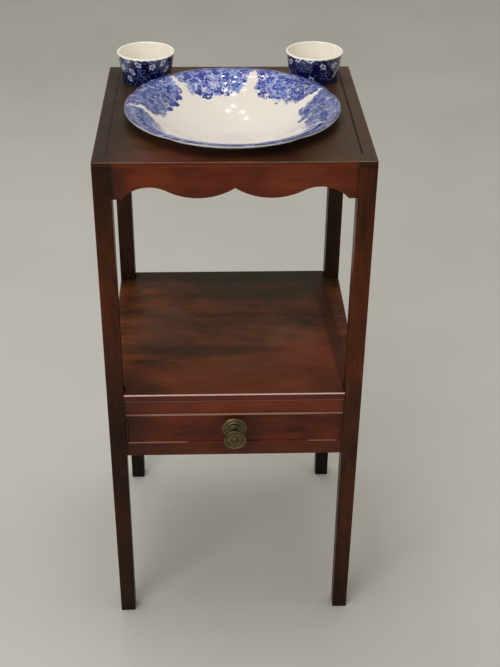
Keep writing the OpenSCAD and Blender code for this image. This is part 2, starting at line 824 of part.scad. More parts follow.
leg_front_left();
leg_front_right();
leg_back_left();
leg_back_right();
top_board();
apron_front();
apron_back();
apron_left();
apron_right();
top_glue_blocks();
shelf_board();
upper_rail();
lower_rail();
case_side_left();
case_side_right();
case_back();
runner_left();
runner_right();
kicker_left();
kicker_right();
guide_left();
guide_right();
drawer_stops();
drawer_front();
drawer_bead_top();
drawer_bead_bottom();
drawer_bead_left();
drawer_bead_right();
drawer_side_left();
drawer_side_right();
drawer_back();
drawer_bottom();
drawer_nails();
knob_rose();
knob();
knob_bolt();
knob_nut();
basin();
cup_left();
cup_right();
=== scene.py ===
"""Looks of a square mahogany washstand, with its basin and two beakers."""
import math

import bpy
from mathutils import Matrix, Vector


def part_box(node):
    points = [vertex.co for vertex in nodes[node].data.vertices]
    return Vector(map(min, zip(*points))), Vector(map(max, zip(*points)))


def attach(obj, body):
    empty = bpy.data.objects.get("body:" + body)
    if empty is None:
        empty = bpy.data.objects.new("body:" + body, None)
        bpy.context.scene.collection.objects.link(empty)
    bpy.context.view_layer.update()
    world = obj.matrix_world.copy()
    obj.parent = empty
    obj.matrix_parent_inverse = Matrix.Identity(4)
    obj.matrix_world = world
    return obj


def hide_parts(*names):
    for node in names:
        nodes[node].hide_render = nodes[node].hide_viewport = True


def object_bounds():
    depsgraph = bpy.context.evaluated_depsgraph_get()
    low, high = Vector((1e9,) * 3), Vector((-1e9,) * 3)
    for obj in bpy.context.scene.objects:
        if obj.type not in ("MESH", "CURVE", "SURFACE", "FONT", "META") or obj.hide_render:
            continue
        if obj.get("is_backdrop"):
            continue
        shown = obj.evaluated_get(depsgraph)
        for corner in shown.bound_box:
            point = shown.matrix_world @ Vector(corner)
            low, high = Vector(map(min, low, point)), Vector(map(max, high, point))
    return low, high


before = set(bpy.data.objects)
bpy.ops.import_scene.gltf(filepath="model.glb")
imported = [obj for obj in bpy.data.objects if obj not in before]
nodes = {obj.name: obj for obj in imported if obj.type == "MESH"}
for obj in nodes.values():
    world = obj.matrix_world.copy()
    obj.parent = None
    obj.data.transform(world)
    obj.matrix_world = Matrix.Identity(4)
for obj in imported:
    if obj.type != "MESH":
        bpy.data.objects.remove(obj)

cad_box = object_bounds()

# The frame is in metres; sizes below are written as millimetres times this
MM = 0.001
TURN = 2 * math.pi


# Materials

class Value:
    """A socket of a finish. Arithmetic on it adds Math nodes."""

    def __init__(self, finish, socket):
        self.finish = finish
        self.socket = socket

    def __add__(self, other):
        return self.finish.maths("ADD", self, other)

    def __sub__(self, other):
        return self.finish.maths("SUBTRACT", self, other)

    def __rsub__(self, other):
        return self.finish.maths("SUBTRACT", other, self)

    def __mul__(self, other):
        return self.finish.maths("MULTIPLY", self, other)

    def __truediv__(self, other):
        return self.finish.maths("DIVIDE", self, other)

    def __rtruediv__(self, other):
        return self.finish.maths("DIVIDE", other, self)

    def __mod__(self, other):
        return self.finish.maths("FLOORED_MODULO", self, other)

    def __pow__(self, power):
        return self.finish.maths("POWER", self, power)

    def __abs__(self):
        return self.finish.maths("ABSOLUTE", self)

    __radd__ = __add__
    __rmul__ = __mul__


class Finish:
    """One material, with its nodes drawn up in code. Places are the frame's, in metres."""

    def __init__(self, name):
        self.material = bpy.data.materials.new(name)
        self.material.use_nodes = True
        self.tree = self.material.node_tree
        self.tree.nodes.clear()
        self.place = self.node("ShaderNodeTexCoord", out="Object")

    def node(self, kind, settings=(), sockets=(), out=0):
        """Adds a node: its settings first, then the values or links of its sockets."""
        made = self.tree.nodes.new(kind)
        for name, value in dict(settings).items():
            if name == "stops":
                set_stops(made.color_ramp, value)
            else:
                setattr(made, name, value)
        for name, value in dict(sockets).items():
            if isinstance(value, Value):
                self.tree.links.new(value.socket, made.inputs[name])
            else:
                made.inputs[name].default_value = value
        return Value(self, made.outputs[out]) if made.outputs else None

    def maths(self, operation, *values):
        return self.node("ShaderNodeMath", {"operation": operation}, enumerate(values))

    def vector_maths(self, operation, *values):
        return self.node("ShaderNodeVectorMath", {"operation": operation}, enumerate(values))

    def least(self, first, second):
        return self.maths("MINIMUM", first, second)

    def most(self, first, second):
        return self.maths("MAXIMUM", first, second)

    def axes(self, vector):
        """The X, Y and Z of a vector."""
        split = self.node("ShaderNodeSeparateXYZ", (), {0: vector})
        return [Value(self, socket) for socket in split.socket.node.outputs]

    def point(self, x, y, z):
        return self.node("ShaderNodeCombineXYZ", (), {0: x, 1: y, 2: z})

    def rise(self, value, low, high):
        """0 below low, 1 above high and smooth between them. High may be the lower one."""
        return self.node("ShaderNodeMapRange", {"interpolation_type": "SMOOTHSTEP"},
                         {0: value, 1: low, 2: high, 3: 0.0, 4: 1.0})

    def noise(self, vector, detail=3.0, roughness=0.55, colour=False):
        """Noise with clouds about one unit of the vector across. A colour holds three such."""
        return self.node("ShaderNodeTexNoise", (),
                         {"Vector": vector, "Scale": 1.0, "Detail": detail,
                          "Roughness": roughness}, 1 if colour else 0)

    def sized(self, size, seed):
        """Coordinates in which a mark of that size in metres is one unit."""
        grown = self.vector_maths("MULTIPLY", self.place, (1 / size,) * 3)
        return self.vector_maths("ADD", grown, (seed, seed * 0.7, seed * 1.3))

    def mix(self, share, first, second, blend="MIX"):
        """Mixes two colours."""
        return self.node("ShaderNodeMix", {"data_type": "RGBA", "blend_type": blend},
                         {0: share, 6: first, 7: second}, 2)

    def ramp(self, value, stops):
        """A colour for each value, from a list of (place, colour)."""
        return self.node("ShaderNodeValToRGB", {"stops": stops}, {0: value})

    def bump(self, height, depth, strength):
        return self.node("ShaderNodeBump", (),
                         {"Strength": strength, "Distance": depth, "Height": height})

    def surface(self, colour, roughness, normal=None, **fixed):
        """Joins up the shader. Fixed values are set on its own sockets."""
        sockets = {"Base Color": colour, "Roughness": roughness}
        if normal is not None:
            sockets["Normal"] = normal
        for name, value in fixed.items():
            sockets[name.replace("_", " ").title().replace("Ior", "IOR")] = value
        shader = self.node("ShaderNodeBsdfPrincipled", (), sockets)
        self.node("ShaderNodeOutputMaterial", (), {"Surface": shader})
        return self.material


def set_stops(ramp, stops):
    """Gives a ramp these stops and no others."""
    while len(ramp.elements) > 1:
        ramp.elements.remove(ramp.elements[-1])
    ramp.elements[0].position, ramp.elements[0].color = stops[0]
    for place, colour in stops[1:]:
        ramp.elements.new(place).color = colour


def shade(red, green, blue):
    """A colour written as it looks, from 0 to 255, in the light values that Blender mixes."""
    def light(byte):
        level = byte / 255
        return level / 12.92 if level <= 0.04045 else ((level + 0.055) / 1.055) ** 2.4
    return light(red), light(green), light(blue), 1.0


def grained(f, place, grain, mark, seed):
    """Coordinates in which a mark of a length along the grain and a width is one unit."""
    length, width = mark
    scale = [1 / width] * 3
    scale["XYZ".index(grain)] = 1 / length
    stretched = f.vector_maths("MULTIPLY", place, scale)
    return f.vector_maths("ADD", stretched, (seed, 2.3 * seed, 3.1 * seed))


def edge_distance(f, box):
    """How far a point on the faces of a box lies from the box's nearest edge, in metres."""
    low, high = box
    x, y, z = [f.least(value - float(a), float(b) - value)
               for value, a, b in zip(f.axes(f.place), low, high)]
    # one of the three is nothing, on the face itself, so the middle one is the distance
    return f.most(f.least(x, y), f.least(f.most(x, y), z))


def wandering(f, size, amount, seed):
    """The place, shifted a little here and there, so that the grain isn't ruled."""
    shift = f.noise(f.sized(size, seed), detail=1.0, colour=True)
    shift = f.vector_maths("SUBTRACT", shift, (0.5, 0.5, 0.5))
    shift = f.vector_maths("MULTIPLY", shift, (amount,) * 3)
    return f.vector_maths("ADD", f.place, shift)


WOODS = {
    # name: dark, middle and light of the figure, then the pale tone of its arrises, from wearing
    # and a painted highlight
    "leg": (shade(44, 20, 8), shade(72, 32, 14), shade(98, 44, 20), shade(122, 64, 40)),
    # the legs at the back are darker all over, as a painted shade
    "back leg": (shade(22, 12, 6), shade(36, 19, 10), shade(52, 27, 15), shade(80, 50, 34)),
    "apron": (shade(78, 28, 9), shade(101, 39, 15), shade(118, 50, 21), shade(160, 92, 56)),
    "top": (shade(34, 16, 8), shade(60, 30, 17), shade(84, 42, 25), shade(190, 146, 124)),
    "shelf": (shade(62, 34, 14), shade(98, 52, 25), shade(126, 66, 36), shade(238, 204, 196)),
    "case": (shade(70, 24, 10), shade(102, 38, 18), shade(124, 52, 26), shade(160, 98, 76)),
    "drawer": (shade(60, 22, 9), shade(92, 35, 16), shade(114, 46, 22), shade(222, 170, 154)),
    "back": (shade(30, 17, 9), shade(48, 27, 15), shade(68, 40, 24), shade(92, 60, 40)),
    "oak": (shade(84, 60, 38), shade(122, 92, 60), shade(150, 118, 82), shade(170, 142, 104)),
}


# Marks along the grain: length and width in metres
FIGURE = (0.30, 0.034)
MOTTLE = (0.075, 0.030)
STREAKS = (0.045, 0.0016)
PORES = (0.009, 0.0006)
DIRT = shade(20, 12, 9)


def wood(name, kind, grain, box, seed, polish=0.3, wear=0.5, worn_width=0.9, patchy=0.6,
         worn_behind=1.0, figured=1.3, sheen=0.2, grime=(), tint=None):
    """Old wood: figure, mottle, streaks and pores along the grain, dull spots, and arrises paled
    by wearing and by a painted highlight.

    polish is the roughness of its sound parts, figured the strength of its figure, and tint
    a function that changes the colour from place to place. wear is how pale its
    arrises are, and worn_and_highlit_arrises describes the rest of that paling; joint_grime
    describes grime."""
    dark, middle, light, worn_and_highlit_tone = WOODS[kind]
    f = Finish(name)
    place = wandering(f, 0.12, 0.010, seed)
    figure = f.noise(grained(f, place, grain, FIGURE, seed), detail=3.0, roughness=0.6)
    mottle = f.noise(grained(f, place, grain, MOTTLE, seed + 1), detail=4.0)
    streaks = f.noise(grained(f, place, grain, STREAKS, seed), detail=3.0, roughness=0.6)
    pores = f.noise(grained(f, place, grain, PORES, seed), detail=1.0)
    patches = f.noise(f.sized(0.05, seed), detail=4.0, roughness=0.6)
    tone = (figure * 0.34 + mottle * 0.40 + streaks * 0.26 - 0.5) * figured + 0.5
    colour = f.ramp(tone, [(0.36, dark), (0.5, middle), (0.64, light)])
    pore = f.rise(pores, 0.60, 0.74)
    colour = f.mix(pore * 0.4, colour, dark)
    colour = f.mix(f.rise(patches, 0.5, 0.8) * 0.35, colour, dark)
    if tint:
        colour = tint(f, colour)
    # the pale arrises: partly wearing, partly a painted highlight
    rubbed_and_highlit = worn_and_highlit_arrises(f, box, worn_width, patchy, worn_behind, seed + 5)
    colour = f.mix(rubbed_and_highlit * wear, colour, worn_and_highlit_tone)
    if grime:
        colour = f.mix(joint_grime(f, grime) * 0.75, colour, DIRT)
    rough = polish + f.rise(patches, 0.35, 0.8) * 0.16 + pore * 0.12
    height = streaks * 0.4 - pore * 0.6 + patches * 0.5
    return f.surface(colour, rough, f.bump(height, 0.25 * MM, 0.3), Specular_IOR_Level=sheen)


def worn_and_highlit_arrises(f, box, width, patchy, behind, seed):
    """How pale a piece is from wearing and a painted highlight: most along its arrises, and less
    along the lower ones, where the painted highlight is weaker.

    width is the pale line's in millimetres, patchy the share of it that comes and goes, and
    behind its strength away from the piece's front."""
    low, high = box
    x, y, z = f.axes(f.place)
    ragged = f.rise(f.noise(f.sized(0.014, seed), detail=4.0), 0.42, 0.60)
    line = 1 - f.rise(edge_distance(f, box), 0.35 * width * MM, width * MM)
    sheltered = low.z + min(0.6 * (high.z - low.z), 5 * MM)
    line = line * (f.rise(z, low.z + 0.3 * (sheltered - low.z), sheltered) * 0.8 + 0.2)
    if behind < 1:
        line = line * (1 - f.rise(y, low.y + 3 * MM, low.y + 9 * MM) * (1 - behind))
    return line * (ragged * patchy + (1 - patchy))


def stain_and_reflection_patch(f, colour, point, middle, size, seed, share, cast):
    """Lays a soft, ragged patch of a cast over a colour: stains, and also painted reflections.

    point is the place in the two directions of a face, in metres. middle and size are the
    patch's, in millimetres, and share is its strength, a number or a Value."""
    ragged = f.noise(f.sized(0.05, seed), detail=4.0, roughness=0.6) - 0.5
    across, along = [(p - m * MM) / (s * MM) for p, m, s in zip(point, middle, size)]
    off = f.maths("SQRT", across ** 2 + along ** 2)
    patch = 1 - f.rise(off + ragged * 1.2, 0.5, 1.25)
    return f.mix(patch * share, colour, cast)


def joint_grime(f, joints):
    """Dirt along joints: each is an axis, the place of the joint on it and the dirt's reach."""
    along = dict(zip("XYZ", f.axes(f.place)))
    ragged = f.noise(f.sized(0.012, 2.0), detail=3.0)
    dirt = None
    for axis, place, reach in joints:
        near = abs(along[axis] - place) / reach
        band = 1 - f.rise(near + ragged * 0.7, 0.35, 1.35)
        dirt = f.most(dirt, band) if dirt else band
    return dirt


# Meshes

def mesh_piece(name, points, faces, material, body, slot, *replaced):
    """A smooth mesh that stands for one or more nodes and rides on their body."""
    mesh = bpy.data.meshes.new(name)
    mesh.from_pydata(points, [], faces)
    mesh.shade_smooth()
    mesh.materials.append(material)
    piece = bpy.data.objects.new(name, mesh)
    bpy.context.scene.collection.objects.link(piece)
    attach(piece, body)
    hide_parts(*replaced)


def arc(centre, radius, start, end, steps):
    """Points (r, z) on an arc, by angles in degrees from the r axis."""
    return [(centre[0] + radius * math.cos(math.radians(start + (end - start) * i / steps)),
             centre[1] + radius * math.sin(math.radians(start + (end - start) * i / steps)))
            for i in range(steps + 1)]


def turned(profile, steps, put, swell=None):
    """Points and faces of a profile turned round its axis.

    A profile point is (r, z). swell gives the factor on r at a point and an angle, and put
    turns a point (x, y, z) round the axis into the frame."""
    points, faces = [], []
    rows = []
    for r, z in profile:
        if r < 1e-6:
            rows.append([len(points)] * steps)
            points.append(put(0.0, 0.0, z))
            continue
        rows.append(list(range(len(points), len(points) + steps)))
        for i in range(steps):
            angle = TURN * i / steps
            out = r * (swell(r, z, angle) if swell else 1.0)
            points.append(put(out * math.cos(angle), out * math.sin(angle), z))
    for low, high in zip(rows, rows[1:]):
        for i in range(steps):
            j = (i + 1) % steps
            corners = [low[i], low[j], high[j], high[i]]
            corners = [c for k, c in enumerate(corners) if c != corners[k - 1]]
            if len(corners) > 2:
                faces.append(corners)
    return points, faces


def brass(name, seed, axis_z, rings):
    """Old brass: brown and green tarnish in patches, brighter between them from rubbing, and
    brighter on its raised rings, which are given by their radii round the axis: there the
    rubbing is joined by a painted highlight."""
    f = Finish(name)
    tarnish = f.noise(f.sized(0.007, seed), detail=5.0, roughness=0.65)
    spots = f.noise(f.sized(0.0018, seed + 1), detail=3.0)
    colour = f.ramp(tarnish, [(0.32, shade(60, 46, 28)), (0.48, shade(92, 77, 52)),
                              (0.62, shade(88, 87, 64)), (0.72, shade(126, 112, 82))])
    colour = f.mix(f.rise(spots, 0.52, 0.7) * 0.6, colour, shade(48, 45, 34))
    x, y, z = f.axes(f.place)
    r = f.maths("SQRT", x * x + (z - axis_z) ** 2)
    for ring in rings:
        # each raised ring: rubbing, and a painted highlight
        rubbed_and_highlit = f.rise(abs(r - ring), 0.9 * MM, 0.4 * MM) * f.rise(tarnish, 0.3, 0.5)
        colour = f.mix(rubbed_and_highlit * 0.35, colour, shade(156, 134, 102))
    rough = 0.28 + tarnish * 0.2
    metal = 1 - f.rise(spots, 0.5, 0.75) * 0.5
    return f.surface(colour, rough, f.bump(spots, 0.12 * MM, 0.25), Metallic=metal)


def iron(name):
    """Black iron with brown rust."""
    f = Finish(name)
    rust = f.noise(f.sized(0.003, 4.0), detail=5.0)
    colour = f.ramp(rust, [(0.35, shade(46, 40, 36)), (0.55, shade(78, 56, 42)),
                           (0.7, shade(112, 66, 38))])
    return f.surface(colour, 0.55 + rust * 0.3, f.bump(rust, 0.3 * MM, 0.5),
                     Metallic=0.9 - f.rise(rust, 0.45, 0.65) * 0.7)


# Basin: its sizes, after those of its box

BASIN_WALL = 4 * MM
BASIN_DEPTH = 55 * MM
BASIN_FLAT = 2.5 * MM
SPREAD_W = 29 * MM
SPREAD_DROP = 13.6 * MM
FOOT_RING_R = 60 * MM
FOOT_RING_W = 6 * MM
basin_low, basin_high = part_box("basin")
basin_r = (basin_high.x - basin_low.x) / 2
basin_y = (basin_high.y + basin_low.y) / 2
lip = BASIN_WALL / 2
lip_r = basin_r - lip
lip_z = basin_high.z - lip
# a round bowl out to the join, then a rim that curves the other way to the lip
join_r = lip_r - SPREAD_W
join_z = lip_z - SPREAD_DROP
bowl_depth = BASIN_DEPTH - SPREAD_DROP
bowl_mid = (join_r ** 2 + bowl_depth ** 2) / (2 * bowl_depth)
bowl_z = join_z + bowl_mid - bowl_depth
# slope of the wall at the join and at the lip
join_turn = math.asin(join_r / bowl_mid)
lip_turn = 2 * math.atan2(SPREAD_DROP, SPREAD_W) - join_turn
spread_mid = math.hypot(SPREAD_W, SPREAD_DROP) / (2 * math.sin((join_turn - lip_turn) / 2))
spread_r = join_r + spread_mid * math.sin(join_turn)
spread_z = join_z - spread_mid * math.cos(join_turn)

# The rim is drawn in a little at a few places round it
NOTCHES = 5
NOTCH_TURN = TURN / NOTCHES
FIRST_NOTCH = math.radians(-126)
NOTCH_DEPTH = 2.6 * MM
NOTCH_WIDTH = math.radians(7)


def rim_dip(angle):
    """How far the rim is drawn in at an angle, which is a number or a Value."""
    off = ((angle - FIRST_NOTCH) / NOTCH_TURN + 0.5) % 1 - 0.5
    return NOTCH_DEPTH / (1 + (off * (NOTCH_TURN / NOTCH_WIDTH)) ** 2) ** 2


def basin_profile():
    """Half the basin's section, from the middle of its underside to the middle of its floor."""
    inner, outer = bowl_mid - lip, bowl_mid + lip
    middle, spread = (0.0, bowl_z), (spread_r, spread_z)
    join, end = math.degrees(join_turn), math.degrees(lip_turn)
    ring_out, ring_in = FOOT_RING_R, FOOT_RING_R - FOOT_RING_W
    soft = 1.2 * MM
    foot = basin_low.z

    def under(r):
        return -math.degrees(math.acos(r / outer))

    profile = arc(middle, outer, -90, under(ring_in - soft), 14)
    profile += [(ring_in, foot + 1.5 * soft), (ring_in + 0.4 * soft, foot + 0.3 * soft)]
    profile += [(ring_in + soft, foot), (ring_out - soft, foot)]
    profile += [(ring_out - 0.4 * soft, foot + 0.3 * soft), (ring_out, foot + 1.5 * soft)]
    profile += arc(middle, outer, under(ring_out + soft), join - 90, 18)
    profile += arc(spread, spread_mid - lip, join + 90, end + 90, 14)[1:]
    profile += arc((lip_r, lip_z), lip, end - 90, end + 90, 14)[1:-1]
    profile += arc(spread, spread_mid + lip, end + 90, join + 90, 16)
    floor = bowl_z - inner + BASIN_FLAT
    for r, z in arc(middle, inner, join - 90, -90, 36)[1:]:
        # the floor rises out of the bowl's round in a soft curve
        profile.append((r, (z + floor + math.hypot(z - floor, 0.8 * MM)) / 2))
    profile[0] = (0.0, profile[0][1])
    profile[-1] = (0.0, profile[-1][1])
    return profile


def drawn_in(r, z, angle):
    """The factor on a basin radius that draws the rim in at its notches."""
    share = min(max((r - 0.8 * basin_r) / (0.2 * basin_r), 0.0), 1.0)
    return 1 - rim_dip(angle) * share * share * (3 - 2 * share) / r


def in_cells(f, turns, rise, columns, jitter, seed):
    """Splits a surface into cells, with a place of its own for a motif in each.

    turns runs from 0 to 1 once round and rise counts rows. Returns the place within the cell
    from the motif's middle, in cells, and a random number."""
    row = f.maths("FLOOR", rise)
    shifted = turns * columns + (row % 2) * 0.5
    column = f.maths("FLOOR", shifted) % columns
    dice = f.node("ShaderNodeTexWhiteNoise", (), {"Vector": f.point(column, row, seed)}, 1)
    red, green, blue = f.axes(dice)
    return (shifted % 1 - 0.5 - (red - 0.5) * jitter,
            rise % 1 - 0.5 - (green - 0.5) * jitter, blue)


def blossom(f, x, y, petals, turn):
    """The distance from a blossom's middle, drawn in between its petals."""
    angle = f.maths("ARCTAN2", y, x) * petals + turn * TURN
    outline = 0.86 + f.maths("COSINE", angle) * 0.14
    return f.maths("SQRT", x * x + y * y) / outline


CREAM = shade(228, 219, 207)
DEEP_BLUE = shade(32, 42, 122)
MID_BLUE = shade(70, 90, 176)
PALE_BLUE = shade(140, 154, 206)
# Sprays of the print: how many, how deep one hangs from the rim at its sides, and how much
# deeper at its middle, how far their slant swings, in sprays, and over what depth
SPRAYS = 7
SPRAY_SIDES = 24 * MM
SPRAY_MIDDLE = 27 * MM
SLANT = 0.045
SLANT_DEPTH = 13 * MM


def down_the_wall(f, place):
    """Where a point of the basin lies: turns round it, metres down its wall from the lip, and
    metres through the wall from the outside."""
    x, y, z = f.axes(place)
    y = y - basin_y
    r = f.maths("SQRT", x * x + y * y)
    angle = f.maths("ARCTAN2", y, x)
    in_bowl = f.maths("ARCTAN2", r, bowl_z - z)
    in_spread = f.maths("ARCTAN2", spread_r - r, z - spread_z)
    depth = ((f.least(in_spread, join_turn) - lip_turn) * spread_mid
             + f.most(join_turn - in_bowl, 0.0) * bowl_mid)
    bowl_side = bowl_mid + lip - f.maths("SQRT", r * r + (bowl_z - z) ** 2)
    spread_side = f.maths("SQRT", (spread_r - r) ** 2 + (z - spread_z) ** 2) + lip - spread_mid
    on_spread = f.maths("GREATER_THAN", in_bowl, join_turn)
    through = bowl_side + on_spread * (spread_side - bowl_side)
    return angle / TURN + 0.5, depth - rim_dip(angle), through


def spray_cover(f, place, ragged, spare):
    """1 where the sprays cover the bowl, which hang from the rim with slanting gaps between.

    spare is how far the cover is drawn in from the sprays' outline, in metres."""
    turns, depth, through = down_the_wall(f, place)
    slant = f.maths("SINE", depth / SLANT_DEPTH) * SLANT
    # 0 in the middle of a spray and 0.5 in the gap, which widens down the wall
    across = abs((turns * SPRAYS + slant + ragged * 0.10) % 1 - 0.5)
    reach = (1 - (across / 0.56) ** 3) * SPRAY_MIDDLE + SPRAY_SIDES - spare
    hanging = f.rise(reach - depth + ragged * (30 * MM), 0.0, 0.8 * MM)
    gap = 0.484 - spare * 3.0 - depth * 1.9
    return hanging * f.rise(across + ragged * 0.05, gap + 0.008, gap - 0.008)


# The print's dabs, from the large ones to the small: size in metres, seed, and how full
DABS = ((0.0105, 2.0, 0.52), (0.0062, 5.0, 0.50), (0.0038, 8.0, 0.46))


def dabs(f, colour, ragged, inside, size, seed, fill):
    """Lays dabs of the print over a colour, each whole, in one tone and some with a heart."""
    cells = f.node("ShaderNodeTexVoronoi", (), {"Vector": f.sized(size, seed), "Scale": 1.0},
                   "Distance")
    near = cells.socket.node
    tones, green, dice = f.axes(Value(f, near.outputs["Color"]))
    # the middle of the dab decides whether it lies in a spray
    middle = f.vector_maths("SUBTRACT", Value(f, near.outputs["Position"]),
                            (seed, seed * 0.7, seed * 1.3))
    middle = f.vector_maths("MULTIPLY", middle, (size,) * 3)
    shift = f.noise(f.vector_maths("MULTIPLY", middle, (90.0,) * 3), detail=2.0) - 0.5
    cover = spray_cover(f, middle, shift, 0.0)
    rim = fill + ragged * 0.5
    dab = f.rise(cells, rim, rim - 0.07) * cover * f.rise(dice, 0.16, 0.2) * inside
    tone = f.ramp(tones, [(0.1, DEEP_BLUE), (0.48, shade(48, 64, 156)), (0.66, MID_BLUE),
                          (0.9, PALE_BLUE)])
    heart = f.rise(cells, fill * 0.45, fill * 0.25) * f.rise(green, 0.45, 0.55)
    return f.mix(dab, colour, f.mix(heart * 0.8, tone, CREAM))


def rim_lines(f, colour, turns, depth, through, inside):
    """The wash along the rim's edge, the line inside it, and the bare glaze of the lip, painted
    whiter and bluer as a highlight.
    """
    streak = f.noise(f.point(turns * 60, through * 300, depth * 300), detail=2.0)
    wash = f.ramp(streak, [(0.40, shade(40, 42, 88)), (0.54, shade(62, 65, 120)),
                           (0.66, shade(144, 147, 196))])
    edge = f.rise(through, 2.3 * MM, 2.7 * MM) * f.rise(depth, 4.4 * MM, 3.2 * MM)
    colour = f.mix(edge * 0.9, colour, wash)
    line = f.rise(depth, 5.0 * MM, 5.4 * MM) * f.rise(depth, 6.4 * MM, 6.0 * MM)
    colour = f.mix(line * inside * 0.6, colour, DEEP_BLUE)
    # the lip's bare glaze, whiter and bluer than the cream: a painted highlight
    lip_side = f.rise(through, 2.6 * MM, 2.2 * MM) * f.rise(depth, 5.0 * MM, 4.0 * MM)
    return f.mix(lip_side * 0.5, colour, shade(214, 218, 228))


def basin_glaze():
    """Cream glaze, with sprays of blue dabs and blossoms hanging from the rim."""
    f = Finish("basin_glaze")
    turns, depth, through = down_the_wall(f, f.place)
    inside = f.rise(through, 3.2 * MM, 3.6 * MM)
    ragged = f.noise(f.sized(0.012, 1.0), detail=3.0, roughness=0.7) - 0.5

    body = f.mix(f.rise(f.noise(f.sized(0.05, 6.0)), 0.3, 0.8) * 0.5, CREAM,
                 shade(234, 226, 215))
    wash = f.noise(f.sized(0.007, 3.0), detail=3.0, roughness=0.6)
    ground = f.ramp(wash, [(0.40, MID_BLUE), (0.52, PALE_BLUE), (0.64, CREAM)])
    colour = f.mix(spray_cover(f, f.place, ragged, 4 * MM) * inside * 0.85, body, ground)
    for size, seed, fill in DABS:
        colour = dabs(f, colour, ragged, inside, size, seed, fill)
    # the print is darker and greyer at the sides
    side = f.rise(abs(f.maths("COSINE", turns * TURN)), 0.55, 0.9)
    thin = spray_cover(f, f.place, ragged, 0.0) * inside * side
    colour = f.mix(thin * 0.42, colour, shade(40, 48, 102))
    colour = rim_lines(f, colour, turns, depth, through, inside)
    ripple = f.noise(f.sized(0.03, 8.0), detail=1.0)
    return f.surface(colour, 0.08 + ripple * 0.05, f.bump(ripple, 0.4 * MM, 0.25),
                     Coat_Weight=0.6, Coat_Roughness=0.03)


def basin():
    def put(x, y, z):
        return x, y + basin_y, z
    points, faces = turned(basin_profile(), steps=240, put=put, swell=drawn_in)
    mesh_piece("basin_bowl", points, faces, basin_glaze(), "basin", "basin_glaze", "basin")


# Beakers

CUP_WALL = 3.2 * MM
CUP_FLOOR = 4 * MM
# How much a beaker's radius grows with its height
CUP_SLOPE = 0.1823
# Rows and columns of the print: the height of a row, and how many motifs go once round
BLOSSOM_ROW = 14.5 * MM
BLOSSOM_COLUMNS = 14
DOT_ROW = 4.5 * MM
DOT_COLUMNS = 46
# How often once round the rows of blossoms rise and fall, and the upper edge is scalloped
ROW_WAVES = 3
SCALLOPS = 26
NAVY = shade(17, 24, 78)


def beaker_glaze(name, middle, rim_r, rim_z, seed):
    """Deep blue print with small white blossoms outside, cream lip and inside; that cream is
    painted paler than the basin's, as painted light on the shaded inside.
    """
    f = Finish(name)
    x, y, z = f.axes(f.place)
    x, y = x - middle.x, y - middle.y
    r = f.maths("SQRT", x * x + y * y)
    # turns are counted from the back, where the print's join is
    turns = f.maths("ARCTAN2", x, y * -1) / TURN + 0.5
    below = rim_z - z
    inward = rim_r - below * CUP_SLOPE - r
    outside = f.rise(inward, 1.4 * MM, 0.9 * MM)

    wash = f.noise(f.sized(0.012, seed), detail=4.0)
    colour = f.ramp(wash, [(0.35, shade(10, 14, 56)), (0.55, NAVY), (0.72, shade(44, 54, 118))])
    # twigs run along the levels of a slow noise
    level = f.noise(f.sized(0.02, seed + 2), detail=1.5)
    twig = f.rise(abs(level - 0.5), 0.016, 0.008)
    colour = f.mix(twig * 0.55, colour, shade(96, 108, 168))
    u, v, dice = in_cells(f, turns, below / DOT_ROW, DOT_COLUMNS, 0.5, seed)
    dot = f.rise(f.maths("SQRT", u * u + v * v), 0.17, 0.12) * f.rise(dice, 0.6, 0.65)
    colour = f.mix(dot * 0.8, colour, shade(150, 160, 206))
    # the rows of blossoms rise and fall, so that they don't look ruled
    waving = f.maths("SINE", turns * (ROW_WAVES * TURN) + seed) * 0.42
    u, v, dice = in_cells(f, turns, below / BLOSSOM_ROW + waving, BLOSSOM_COLUMNS, 0.3,
                          seed + 4)
    share = blossom(f, u * 1.05, v, 5, dice)
    blooms = f.rise(share, 0.33, 0.28) * f.rise(dice, 0.56, 0.6)
    petals = f.ramp(share / 0.33, [(0.0, shade(170, 178, 214)), (0.14, shade(120, 130, 184)),
                                   (0.26, NAVY), (0.46, shade(120, 132, 190)),
                                   (0.66, shade(214, 218, 234))])
    colour = f.mix(blooms, colour, petals)
    wave = f.maths("COSINE", turns * (SCALLOPS * TURN)) * (0.5 * MM)
    printed = outside * f.rise(below + wave, 2.0 * MM, 2.5 * MM)
    # the lip and inside: a cream paler than the basin's, painted light for the shaded inside
    colour = f.mix(printed, shade(246, 239, 226), colour)
    ripple = f.noise(f.sized(0.02, seed + 6), detail=1.0)
    return f.surface(colour, 0.1 + ripple * 0.06, f.bump(ripple, 0.3 * MM, 0.25),
                     Coat_Weight=0.5, Coat_Roughness=0.04)


